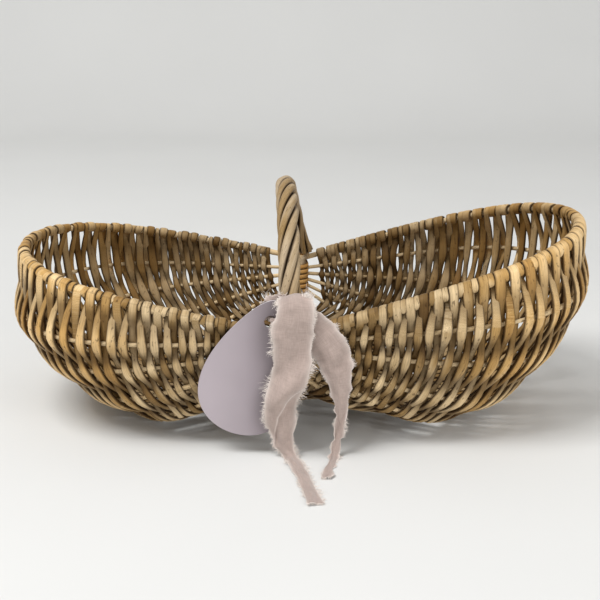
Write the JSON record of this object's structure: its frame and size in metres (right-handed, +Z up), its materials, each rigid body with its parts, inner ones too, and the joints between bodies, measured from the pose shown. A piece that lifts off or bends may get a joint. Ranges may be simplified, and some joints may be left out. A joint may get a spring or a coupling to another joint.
{
  "type": "hand basket",
  "caption": "Shallow ribbed willow hand basket with a saddle rim high at both ends, a twisted bow handle, a cloth ribbon and an egg-shaped card tag.",
  "frame": {"origin": "under the middle of the whole part's box, on the ground", "axes": "+X along the basket from its left end to its right end, +Y from the front, where the tag hangs, to the back, +Z up"},
  "size_m": [0.4854, 0.3404, 0.1934],
  "materials": {
    "willow_frame": "satin",
    "willow_handle": "satin",
    "willow_weaver": "satin",
    "peeled_cane": "satin",
    "cotton_ribbon": "matt",
    "lilac_card": "satin"
  },
  "bodies": {
    "basket": {"rim_hoop": "willow_frame", "handle_hoop": "willow_handle", "left_rib_1": "willow_frame", "left_rib_2": "willow_frame", "left_rib_3": "willow_frame", "left_rib_4": "willow_frame", "left_rib_5": "willow_frame", "right_rib_1": "willow_frame", "right_rib_2": "willow_frame", "right_rib_3": "willow_frame", "right_rib_4": "willow_frame", "right_rib_5": "willow_frame", "handle_rod_1": "willow_handle", "handle_rod_2": "willow_handle", "handle_rod_3": "willow_handle", "handle_rod_4": "willow_handle", "handle_rod_5": "willow_handle", "front_lashing": "peeled_cane", "back_lashing": "peeled_cane", "weaver_01": "willow_weaver", "weaver_02": "willow_weaver", "weaver_03": "willow_weaver", "weaver_04": "willow_weaver", "weaver_05": "willow_weaver", "weaver_06": "willow_weaver", "weaver_07": "willow_weaver", "weaver_08": "willow_weaver", "weaver_09": "willow_weaver", "weaver_10": "willow_weaver", "weaver_11": "willow_weaver", "weaver_12": "willow_weaver", "weaver_13": "willow_weaver", "weaver_14": "willow_weaver", "weaver_15": "willow_weaver", "weaver_16": "willow_weaver", "weaver_17": "willow_weaver", "weaver_18": "willow_weaver", "weaver_19": "willow_weaver", "weaver_20": "willow_weaver", "weaver_21": "willow_weaver", "weaver_22": "willow_weaver", "weaver_23": "willow_weaver", "weaver_24": "willow_weaver", "weaver_25": "willow_weaver", "weaver_26": "willow_weaver", "weaver_27": "willow_weaver", "weaver_28": "willow_weaver", "weaver_29": "willow_weaver", "weaver_30": "willow_weaver", "weaver_31": "willow_weaver", "weaver_32": "willow_weaver", "ribbon": "cotton_ribbon"},
    "tag": {"card_tag": "lilac_card"}
  },
  "joints": [
    {"name": "tag_swing", "type": "hinge", "parent": "basket", "child": "tag", "pos_m": [-0.0204, -0.0836, 0.1096], "axis": [0, 1, 0], "range_deg": [-10, 25]}
  ]
}
